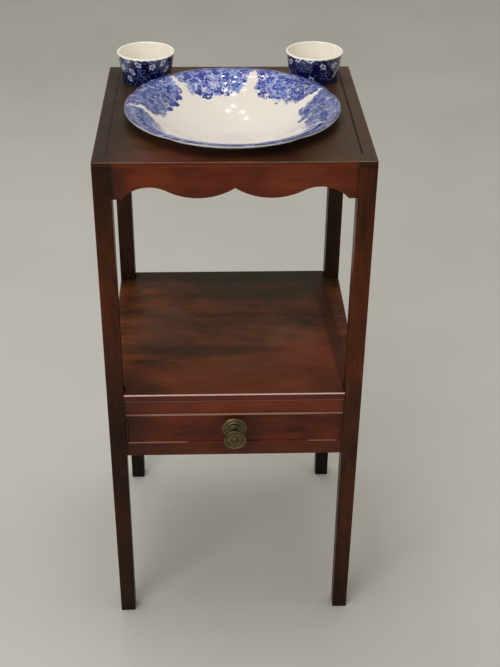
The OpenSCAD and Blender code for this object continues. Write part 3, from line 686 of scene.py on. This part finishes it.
def beaker_profile(foot_z, lip_z, rim_r):
    """Half a beaker's section, from the middle of its underside to the middle of its floor.

    lip_z is the height of the middle of its rounded lip."""
    lip_r = CUP_WALL / 2
    foot_r = rim_r - CUP_SLOPE * (lip_z - foot_z)
    soft = 1.0 * MM
    profile = [(0.0, foot_z + 0.8 * MM), (foot_r - 5 * MM, foot_z + 0.8 * MM),
               (foot_r - 4 * MM, foot_z), (foot_r - soft, foot_z),
               (foot_r - 0.3 * soft, foot_z + 0.3 * soft),
               (foot_r + CUP_SLOPE * soft, foot_z + soft)]
    steps = 16
    for i in range(1, steps + 1):
        z = foot_z + soft + (lip_z - foot_z - soft) * i / steps
        profile.append((foot_r + CUP_SLOPE * (z - foot_z), z))
    profile += arc((rim_r - lip_r, lip_z), lip_r, 0, 180, 10)[1:]
    floor_z = foot_z + CUP_FLOOR
    round_r = 4 * MM
    for i in range(1, steps + 1):
        z = lip_z - (lip_z - floor_z - round_r) * i / steps
        profile.append((foot_r + CUP_SLOPE * (z - foot_z) - CUP_WALL, z))
    floor_r = foot_r + CUP_SLOPE * (floor_z + round_r - foot_z) - CUP_WALL
    profile += arc((floor_r - round_r, floor_z + round_r), round_r, 0, -90, 8)[1:]
    return profile + [(0.0, floor_z)]


def beaker(side, seed):
    node = "cup_" + side
    low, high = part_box(node)
    middle = (low + high) / 2
    rim_r = (high.x - low.x) / 2

    def put(x, y, z):
        return x + middle.x, y + middle.y, z
    profile = beaker_profile(low.z, high.z - CUP_WALL / 2, rim_r)
    points, faces = turned(profile, steps=128, put=put)
    glaze = beaker_glaze("beaker_glaze_" + side, middle, rim_r, high.z, seed)
    mesh_piece("beaker_" + side, points, faces, glaze, node, "beaker_glaze", node)


# Knob: radii of the raised rings of its neck and head, and of the rose's steps

KNOB_RINGS = (8.6 * MM, 6.7 * MM, 13.2 * MM)
ROSE_RINGS = (16.2 * MM, 10.9 * MM)


def knob_profile(head_r, reach):
    """Half the knob's section: the radius from its axis, and how far out of the drawer."""
    rim = 2.0 * MM
    face = reach - 2 * MM
    back = face - 2 * rim
    neck = 5.5 * MM
    # the ring at the foot of the neck
    profile = [(0.0, 0.0), (neck + 1.8 * MM, 0.0)]
    profile += arc((neck + 1.8 * MM, 1.8 * MM), 1.8 * MM, -90, 90, 10)
    profile += [(neck + 0.6 * MM, 3.8 * MM), (neck, 4.6 * MM)]
    # the ring half way along it
    half = back / 2
    profile += [(neck, half - 1.8 * MM)]
    profile += arc((neck, half), 1.4 * MM, -70, 70, 8)
    profile += [(neck, half + 1.8 * MM), (neck, back - 8 * MM)]
    # the flare behind the head
    profile += arc((neck + 6 * MM, back - 8 * MM), 6 * MM, 180, 118, 8)[1:]
    profile += [(head_r - rim - 0.6 * MM, back - 0.2 * MM)]
    profile += arc((head_r - rim, back + rim), rim, -90, 90, 14)
    # the face: a sunk ring, a fine raised one, and a boss
    sunk_r = head_r - 3.2 * MM
    profile += [(sunk_r + 0.5 * MM, face - 0.1 * MM), (sunk_r, face - 0.6 * MM),
                (sunk_r - 0.8 * MM, face - 1.0 * MM), (8.4 * MM, face - 1.0 * MM),
                (8.0 * MM, face - 0.6 * MM), (7.4 * MM, face - 0.6 * MM),
                (7.0 * MM, face - 1.0 * MM), (5.4 * MM, face - 1.0 * MM)]
    profile += arc((0.0, reach - 5 * MM), 5 * MM, 25, 90, 10)
    profile[-1] = (0.0, reach)
    return profile


def rose_profile(rose_r, thick):
    """Half the rose's section: a flat disc, a slope and a fine ring round the bolt's hole."""
    hole_r = 2.6 * MM
    step = thick / 3
    return [(hole_r, 0.0), (rose_r - 0.2 * MM, 0.0), (rose_r, 0.2 * MM),
            (rose_r, step - 0.2 * MM), (rose_r - 0.2 * MM, step), (rose_r - step, 2 * step),
            (11.3 * MM, 2 * step + 0.1 * MM), (11.0 * MM, 2 * step + 0.5 * MM),
            (10.8 * MM, thick - 0.2 * MM), (10.5 * MM, thick), (hole_r, thick)]


def knob():
    """The turned brass knob and its rose, pointing out of the drawer front."""
    for node, name, section, finish, seed, rings in (
            ("knob", "knob_turned", knob_profile, "knob_brass", 2.0, KNOB_RINGS),
            ("knob_rose", "knob_rose_turned", rose_profile, "rose_brass", 7.0, ROSE_RINGS)):
        low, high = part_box(node)
        axis_z = (low.z + high.z) / 2

        def put(x, y, z):
            return x, high.y - z, axis_z + y
        profile = section((high.x - low.x) / 2, high.y - low.y)
        points, faces = turned(profile, steps=96, put=put)
        mesh_piece(name, points, faces, brass(finish, seed, axis_z, rings), "drawer",
                   "old_brass", node)


# Easing and dressing of the pieces made of wood

def smooth_shading():
    """Modifier tree that shades every face and edge smoothly."""
    tree = bpy.data.node_groups.new("smooth_shading", "GeometryNodeTree")
    for way in ("INPUT", "OUTPUT"):
        tree.interface.new_socket("Geometry", in_out=way, socket_type="NodeSocketGeometry")
    last = tree.nodes.new("NodeGroupInput").outputs[0]
    for domain in ("FACE", "EDGE"):
        step = tree.nodes.new("GeometryNodeSetShadeSmooth")
        step.domain = domain
        tree.links.new(last, step.inputs[0])
        last = step.outputs[0]
    tree.links.new(last, tree.nodes.new("NodeGroupOutput").inputs[0])
    return tree


SMOOTH = smooth_shading()


def ease(node, width):
    """Rounds a wooden piece's arrises a little, as long handling does."""
    piece = nodes[node]
    weld = piece.modifiers.new("weld", "WELD")
    weld.merge_threshold = 0.01 * MM
    flat = piece.modifiers.new("flat", "DECIMATE")
    flat.decimate_type = "DISSOLVE"
    flat.angle_limit = math.radians(0.5)
    bevel = piece.modifiers.new("ease", "BEVEL")
    bevel.width = width
    bevel.segments = 3
    bevel.limit_method = "ANGLE"
    bevel.angle_limit = math.radians(35)
    soft = piece.modifiers.new("soft", "NODES")
    soft.node_group = SMOOTH
    even = piece.modifiers.new("even", "WEIGHTED_NORMAL")
    even.keep_sharp = False


def dress(node, material):
    """Gives a CAD node its finish."""
    for slot in nodes[node].material_slots:
        slot.material = material


# How far a piece runs into its mortises
TENON = 10.2 * MM


def wooden(node, kind, grain, seed, easing, tenons="", end_dirt=0, **looks):
    """Dresses a wooden node, with its arrises eased by a width in millimetres.

    tenons is the axis along which it runs on into mortises, and end_dirt the reach in
    millimetres of the dirt in the joints at its shoulders."""
    low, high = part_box(node)
    if tenons:
        hidden = Vector([TENON if axis == tenons else 0.0 for axis in "XYZ"])
        low, high = low + hidden, high - hidden
    if end_dirt:
        along = "XYZ".index(grain)
        looks["grime"] = [(grain, end[along], end_dirt * MM) for end in (low, high)]
    dress(node, wood(node, kind, grain, (low, high), seed, **looks))
    if easing:
        ease(node, easing * MM)


# The stand, after its top: half its width and depth, its middle from front to back, its height
stand_low, stand_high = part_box("top_board")
HALF_W = stand_high.x
HALF_D = (stand_high.y - stand_low.y) / 2
MIDDLE_Y = (stand_low.y + stand_high.y) / 2
TOP_Z = stand_high.z

# Tones of the legs from the floor up: (share of the height, factors on the colour)
LEG_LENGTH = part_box("leg_front_left")[1].z
LEFT_TONES = [(0.0, (0.24, 0.46, 0.32, 1)), (0.08, (0.32, 0.46, 0.32, 1)),
              (0.30, (0.30, 0.34, 0.18, 1)), (0.46, (0.24, 0.27, 0.13, 1)),
              (0.60, (0.44, 0.55, 0.40, 1)), (0.74, (0.80, 0.82, 0.60, 1)),
              (0.87, (0.62, 0.62, 0.42, 1)), (1.0, (0.34, 0.52, 0.40, 1))]
RIGHT_TONES = [(0.0, (0.26, 0.36, 0.26, 1)), (0.09, (0.32, 0.42, 0.30, 1)),
               (0.22, (0.78, 0.86, 0.66, 1)), (0.42, (0.74, 0.98, 0.78, 1)),
               (0.62, (0.90, 1.00, 0.86, 1)), (0.76, (0.92, 0.96, 0.70, 1)),
               (0.90, (0.92, 0.86, 0.54, 1)), (1.0, (0.62, 0.66, 0.50, 1))]
BACK_TONES = [(0.0, (0.42, 0.46, 0.33, 1)), (0.35, (0.60, 0.64, 0.50, 1)),
              (0.60, (1.25, 1.27, 1.15, 1)), (0.84, (2.0, 2.0, 1.6, 1)),
              (1.0, (0.80, 0.84, 0.76, 1))]
# Factors on the outer side face of each leg at the back, which is spared the painted shade
# of its other faces
BACK_UNSHADED_SIDE = (3.2, 3.0, 2.7, 1)


def leg_tint(tones, side=None):
    """Gives the tint of a leg: its tones, and any factors on its outer side face, which lift
    the painted shade there.
    """
    def tint(f, colour):
        x, y, z = f.axes(f.place)
        ragged = f.noise(f.sized(0.05, 3.0), detail=3.0) - 0.5
        tone = f.ramp(z / LEG_LENGTH + ragged * 0.06, tones)
        colour = f.mix(1.0, colour, tone, "MULTIPLY")
        if side:
            outer = f.rise(abs(x), HALF_W - 0.7 * MM, HALF_W - 0.2 * MM)
            colour = f.mix(outer, colour, side, "MULTIPLY")
        return colour
    return tint


def legs():
    looks = (("leg_front_left", "leg", leg_tint(LEFT_TONES)),
             ("leg_front_right", "leg", leg_tint(RIGHT_TONES)),
             ("leg_back_left", "back leg", leg_tint(BACK_TONES, BACK_UNSHADED_SIDE)),
             ("leg_back_right", "back leg", leg_tint(BACK_TONES, BACK_UNSHADED_SIDE)))
    for n, (node, kind, tint) in enumerate(looks):
        wooden(node, kind, "Z", 3.0 + n * 7, easing=0.8, polish=0.32, wear=0.3, sheen=0.15,
               grime=[("Z", LEG_LENGTH, 5 * MM)], tint=tint)


# Lower edge of a shaped apron: two hanging lobes, and an arch between each and the leg.
# Each is the place of its middle, out from the apron's middle and up, and its radius.
LOBE = (44.5 * MM, 767.2 * MM, 82 * MM)
ARCH = (103.24 * MM, 654.6 * MM, 45 * MM)
# How far out from the apron's middle the lobe gives way to the arch
LOBE_ENDS = 82.43 * MM


def outside_round(f, out, z, middle_out, middle_z, radius):
    """How far a point lies outside a round, in metres."""
    return f.maths("SQRT", (out - middle_out) ** 2 + (z - middle_z) ** 2) - radius


def apron_tint(grain):
    """Gives the tint of a shaped apron: paler at its sawn lower edge, from wearing and a painted
    highlight, and dark at its ends.
    """
    def tint(f, colour):
        x, y, z = f.axes(f.place)
        out = abs(x if grain == "X" else y - MIDDLE_Y)
        lobe = outside_round(f, out, z, *LOBE)
        arch = outside_round(f, out, z, *ARCH)
        above_edge = f.maths("GREATER_THAN", out, LOBE_ENDS) * (arch + lobe) - lobe
        rubbed_and_highlit = f.noise(f.sized(0.02, 9.0), detail=3.0)
        # the pale line along the sawn edge: partly wearing, partly a painted highlight
        pale = (1 - f.rise(above_edge, 0.3 * MM, 1.8 * MM)) * f.rise(rubbed_and_highlit, 0.3, 0.6)
        colour = f.mix(pale * 0.55, colour, shade(150, 78, 40))
        # the left end is the darker one
        along = (x if grain == "X" else y) + (rubbed_and_highlit - 0.5) * (40 * MM)
        left = f.rise(along, -106 * MM, -158 * MM)
        colour = f.mix(left * 0.85, colour, shade(42, 21, 11))
        colour = f.mix(f.rise(z, 704 * MM, 690 * MM) * 0.38, colour, shade(58, 24, 10))
        colour = stain_and_reflection_patch(f, colour, (x, z), (-20, 712), (70, 30), 21.0, 0.22, shade(60, 22, 8))
        colour = stain_and_reflection_patch(f, colour, (x, z), (78, 712), (42, 24), 23.0, 0.2, shade(136, 68, 46))
        return f.mix(f.rise(x, 118 * MM, 150 * MM) * 0.2, colour, shade(50, 24, 12))
    return tint


def aprons():
    for n, (node, grain) in enumerate((("apron_front", "X"), ("apron_left", "Y"),
                                       ("apron_right", "Y"), ("apron_back", "X"))):
        plain = node == "apron_back"
        wooden(node, "back" if plain else "apron", grain, 31.0 + n * 5, easing=0.5,
               tenons=grain, end_dirt=4, wear=0.3, tint=None if plain else apron_tint(grain))


GROOVE_X = HALF_W - 17 * MM


def top_tint(f, colour):
    """A grey-brown film on the upper face, partly dull bloom and partly a painted reflection of
    the room, thin in front and round the basin, dirt in the grooves, and the apron's red on
    the edges."""
    x, y, z = f.axes(f.place)
    up = f.rise(z, TOP_Z - 0.8 * MM, TOP_Z - 0.2 * MM)
    clouds = f.noise(f.sized(0.08, 4.0), detail=4.0) - 0.5
    sides = f.rise(abs(x) + clouds * (90 * MM), 60 * MM, 150 * MM)
    back = f.rise(y + clouds * (120 * MM), -60 * MM, 80 * MM)
    # the film: dull bloom, with a painted reflection of the room at the sides and back
    colour = f.mix(up * f.most(sides, back) * 0.7, colour, shade(76, 58, 40))
    colour = stain_and_reflection_patch(f, colour, (x, y), (-95, -140), (70, 24), 3.0, up * 0.38,
                     shade(104, 50, 40))
    left = f.rise(x + clouds * (60 * MM), -112 * MM, -150 * MM)
    colour = f.mix(up * left * 0.75, colour, shade(40, 29, 22))
    # red shows in front of both beakers
    colour = stain_and_reflection_patch(f, colour, (abs(x), y), (128, 72), (26, 36), 25.0, up * 0.4,
                     shade(66, 28, 26))
    # the outer edges, and not the walls of the holes
    outer = f.rise(f.most(abs(x), abs(y - MIDDLE_Y)), HALF_D - 3.5 * MM, HALF_D - 0.5 * MM)
    colour = f.mix((1 - up) * outer * 0.8, colour, shade(104, 46, 26))
    over_legs = f.rise(abs(x), 144 * MM, 149 * MM)
    colour = f.mix((1 - up) * over_legs * 0.85, colour, shade(40, 24, 15))
    groove = 1 - f.rise(abs(abs(x) - GROOVE_X), 1.0 * MM, 1.4 * MM)
    deep = TOP_Z - z
    groove = groove * f.rise(deep, 0.1 * MM, 0.7 * MM) * f.rise(deep, 1.5 * MM, 1.1 * MM)
    dirt = f.mix(f.rise(x, -100 * MM, 100 * MM), shade(58, 43, 32), shade(16, 10, 7))
    return f.mix(groove * 0.9, colour, dirt)


def shelf_tint(f, colour):
    """Red in front and at the right, with dark clouds across the middle, an olive back, and
    painted reflections: a greyish one on the left and a dark one along the right.
    """
    x, y, z = f.axes(f.place)
    clouds = f.noise(grained(f, f.place, "X", (0.10, 0.05), 6.0), detail=4.0) - 0.5

    def patch(middle, size, seed, share, cast):
        return stain_and_reflection_patch(f, colour, (x, y), middle, size, seed, share, cast)

    colour = patch((20, -30), (120, 75), 17.0, 0.4, shade(122, 72, 44))
    # a painted reflection, greyish mauve, on the left
    colour = patch((-104, 8), (44, 76), 22.0, 0.3, shade(112, 76, 64))
    colour = patch((40, 130), (130, 60), 2.0, 0.7, shade(42, 35, 12))
    behind = f.rise(y + clouds * (50 * MM), 118 * MM, 160 * MM)
    colour = f.mix(behind * 0.8, colour, shade(30, 29, 15))
    colour = patch((92, -25), (44, 45), 20.0, 0.6, shade(130, 82, 56))
    colour = patch((100, -60), (60, 46), 8.0, 0.5, shade(138, 60, 40))
    front = f.rise(y + clouds * (120 * MM), -75 * MM, -135 * MM)
    colour = f.mix(front * 0.55, colour, shade(126, 60, 34))
    colour = patch((-45, -48), (130, 17), 11.0, 0.6, shade(58, 36, 20))
    colour = patch((-78, 100), (34, 30), 19.0, 0.4, shade(50, 36, 18))
    # the front corners
    colour = patch((-150, -150), (62, 60), 14.0, 0.65, shade(44, 26, 14))
    colour = patch((150, -150), (50, 44), 16.0, 0.5, shade(44, 27, 18))
    # a painted reflection of the right back leg, dark along the right side
    strip = 1 - f.rise(abs(x - 146 * MM + y * 0.06), 6 * MM, 13 * MM)
    colour = f.mix(strip * 0.55, colour, shade(50, 20, 12))
    colour = f.mix(f.rise(clouds, 0.0, 0.14) * 0.35, colour, shade(58, 34, 16))
    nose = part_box("shelf_board")[0].y
    face = f.rise(y, nose + 0.7 * MM, nose + 0.2 * MM)
    return f.mix(face * 0.6, colour, shade(86, 40, 40))


def boards():
    wooden("top_board", "top", "X", 60.0, easing=0.7, wear=0.42, patchy=0.3, sheen=0.1,
           tint=top_tint)
    wooden("shelf_board", "shelf", "X", 71.0, easing=1.3, wear=1.0, worn_width=1.9,
           patchy=0.1, worn_behind=0.2, figured=1.7, sheen=0.12, tint=shelf_tint)


def dark_ends(f, colour):
    """A piece of the case's front is dark at its left end, and a little at its right one."""
    x, y, z = f.axes(f.place)
    ragged = f.noise(f.sized(0.02, 9.0), detail=3.0) - 0.5
    along = x + ragged * (40 * MM)
    colour = f.mix(f.rise(along, -84 * MM, -152 * MM) * 0.72, colour, shade(32, 20, 12))
    return f.mix(f.rise(along, 118 * MM, 152 * MM) * 0.3, colour, shade(38, 22, 14))


def case_tint(share, cast):
    """Gives the tint of a piece of the case's front: a cast under its dark ends."""
    def tint(f, colour):
        return dark_ends(f, f.mix(share, colour, cast))
    return tint


def drawer_case():
    """The case round the drawer, with the oak pieces hidden in it and under the top."""
    rails = (("upper_rail", case_tint(0.25, shade(116, 62, 42))),
             ("lower_rail", case_tint(0.30, shade(60, 42, 24))))
    for n, (node, tint) in enumerate(rails):
        wooden(node, "case", "X", 80.0 + n * 3, easing=0.4, tenons="X", end_dirt=3, wear=0.3,
               tint=tint)
    for n, node in enumerate(("case_side_left", "case_side_right")):
        wooden(node, "case", "Y", 90.0 + n * 4, easing=0.4, tenons="Y", polish=0.36, wear=0.4)
    wooden("case_back", "back", "X", 97.0, easing=0.4, tenons="X", polish=0.6, wear=0.2)
    for n, node in enumerate(("runner_left", "runner_right", "kicker_left", "kicker_right",
                              "guide_left", "guide_right", "drawer_stops",
                              "top_glue_blocks")):
        wooden(node, "oak", "X" if node == "drawer_stops" else "Y", 101.0 + n * 3,
               easing=0.4, polish=0.6, wear=0.3)


def top_bead_tint(f, colour):
    """The upper bead has a pale painted highlight along its whole length, least at its left end.
    """
    x, y, z = f.axes(f.place)
    along = x + f.noise(f.sized(0.02, 2.0), detail=2.0) * (8 * MM)
    rubbed_and_highlit = f.rise(along, -150 * MM, -96 * MM) * 0.75 + 0.25
    rubbed_and_highlit = rubbed_and_highlit * (1 - f.rise(along, 96 * MM, 140 * MM) * 0.35)
    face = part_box("drawer_front")[0].y
    rubbed_and_highlit = rubbed_and_highlit * f.rise(y, face + 0.6 * MM, face - 0.2 * MM)
    return f.mix(rubbed_and_highlit * 0.5, colour, shade(206, 156, 138))


def lower_bead_tint(f, colour):
    """The lower bead has a painted highlight in two stretches of its upper arris."""
    x, y, z = f.axes(f.place)
    along = x + f.noise(f.sized(0.01, 2.0), detail=2.0) * (8 * MM)
    left = f.rise(along, -150 * MM, -138 * MM) * f.rise(along, -56 * MM, -68 * MM)
    right = f.rise(along, 100 * MM, 108 * MM) * f.rise(along, 146 * MM, 140 * MM)
    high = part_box("drawer_bead_bottom")[1].z
    arris = f.rise(z, high - 1.6 * MM, high - 0.9 * MM)
    return f.mix(arris * (left + right * 0.9) * 0.42, dark_ends(f, colour),
                 shade(190, 136, 118))


def front_tint(f, colour):
    """Dark at the left end, and round the knob."""
    x, y, z = f.axes(f.place)
    low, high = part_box("knob_rose")
    rose_z = (low.z + high.z) / 2
    colour = stain_and_reflection_patch(f, colour, (x, z), (0, rose_z / MM), (58, 26), 5.0, 0.4,
                     shade(38, 20, 11))
    return dark_ends(f, colour)


def drawer():
    wooden("drawer_front", "drawer", "X", 130.0, easing=0.3, wear=0.2, tint=front_tint)
    side_tint = case_tint(0.5, shade(44, 21, 13))
    beads = (("drawer_bead_top", "X", top_bead_tint), ("drawer_bead_bottom", "X", lower_bead_tint),
             ("drawer_bead_left", "Z", side_tint), ("drawer_bead_right", "Z", side_tint))
    for n, (node, grain, tint) in enumerate(beads):
        wooden(node, "drawer", grain, 140.0 + n * 3, easing=0, polish=0.26, wear=0.0,
               tint=tint)
    # the bottom's edges lie hidden in its grooves, so they stay sharp
    inner = (("drawer_side_left", "Y", 0.3), ("drawer_side_right", "Y", 0.3),
             ("drawer_back", "X", 0.3), ("drawer_bottom", "X", 0))
    for n, (node, grain, easing) in enumerate(inner):
        wooden(node, "oak", grain, 152.0 + n * 3, easing=easing, polish=0.6, wear=0.3)
    for node in ("drawer_nails", "knob_bolt", "knob_nut"):
        dress(node, iron(node))


# Room: half the floor's side, in metres

FLOOR_HALF = 6.0


def floor():
    f = Finish("pale_floor")
    patches = f.noise(f.sized(0.5, 1.0), detail=3.0)
    colour = f.ramp(patches, [(0.35, shade(205, 200, 192)), (0.65, shade(211, 207, 200))])
    mesh = bpy.data.meshes.new("floor")
    mesh.from_pydata([(x * FLOOR_HALF, y * FLOOR_HALF, 0)
                      for x, y in ((-1, -1), (1, -1), (1, 1), (-1, 1))], [], [(0, 1, 2, 3)])
    mesh.materials.append(f.surface(colour, 0.85))
    ground = bpy.data.objects.new("floor", mesh)
    bpy.context.scene.collection.objects.link(ground)
    ground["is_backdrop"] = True


# What the lamps face, and the small ceiling lamps' height and places, in metres
LAMP_TARGET = Vector((0.0, 0.0, 0.55))
SPOT_Z = 2.62
SPOTS = ((0.161, -0.176), (-0.024, -0.023), (-0.293, -0.15), (-0.013, 0.40), (0.112, 0.587),
         (-0.203, 0.678), (-0.267, 1.026))


def lamp(name, place, size, power, reflected=True):
    """A square lamp that faces the stand. size is its side in metres, power is in watts."""
    light = bpy.data.lights.new(name, "AREA")
    light.size = size
    light.energy = power
    holder = bpy.data.objects.new(name, light)
    holder.location = place
    holder.rotation_euler = (LAMP_TARGET - Vector(place)).to_track_quat("-Z", "Y").to_euler()
    holder.visible_glossy = reflected
    bpy.context.scene.collection.objects.link(holder)


def lamps():
    # the large ceiling lamp gives no hard-edged reflection
    lamp("ceiling", (-0.2, 0.2, 2.6), 1.5, 17.0, reflected=False)
    lamp("front", (-1.2, -2.0, 1.9), 1.4, 22.0)
    # the small ones show as spots in the glaze
    for n, (x, y) in enumerate(SPOTS):
        lamp(f"spot_{n}", (x, y, SPOT_Z), 0.04, 0.55)
    world = bpy.data.worlds.new("room")
    world.use_nodes = True
    background = world.node_tree.nodes["Background"]
    background.inputs["Color"].default_value = (0.95, 0.95, 0.89, 1.0)
    background.inputs["Strength"].default_value = 0.45
    bpy.context.scene.world = world


# Eye point and aim of the photograph, worked out from the stand's corners in it: metres,
# radians, and the lens in millimetres on a sensor 36 mm wide
EYE = (-0.03096, -1.40755, 1.2814)
EYE_YAW = 0.0403
EYE_PITCH = 0.5612
EYE_ROLL = 0.0108
EYE_LENS = 61.88


def camera():
    view = bpy.data.cameras.new("camera")
    view.lens = EYE_LENS
    view.sensor_width = 36.0
    holder = bpy.data.objects.new("camera", view)
    holder.matrix_world = (Matrix.Translation(EYE) @ Matrix.Rotation(-EYE_YAW, 4, "Z")
                           @ Matrix.Rotation(math.pi / 2 - EYE_PITCH, 4, "X")
                           @ Matrix.Rotation(EYE_ROLL, 4, "Z"))
    bpy.context.scene.collection.objects.link(holder)
    bpy.context.scene.camera = holder


camera()
lamps()
floor()
legs()
aprons()
boards()
drawer_case()
drawer()
knob()
basin()
beaker("left", seed=1.0)
beaker("right", seed=6.0)
bpy.context.scene.view_settings.view_transform = "Standard"

boxes = {name: [list(corner) for corner in box]
         for name, box in (("cad", cad_box), ("visual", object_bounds()))}
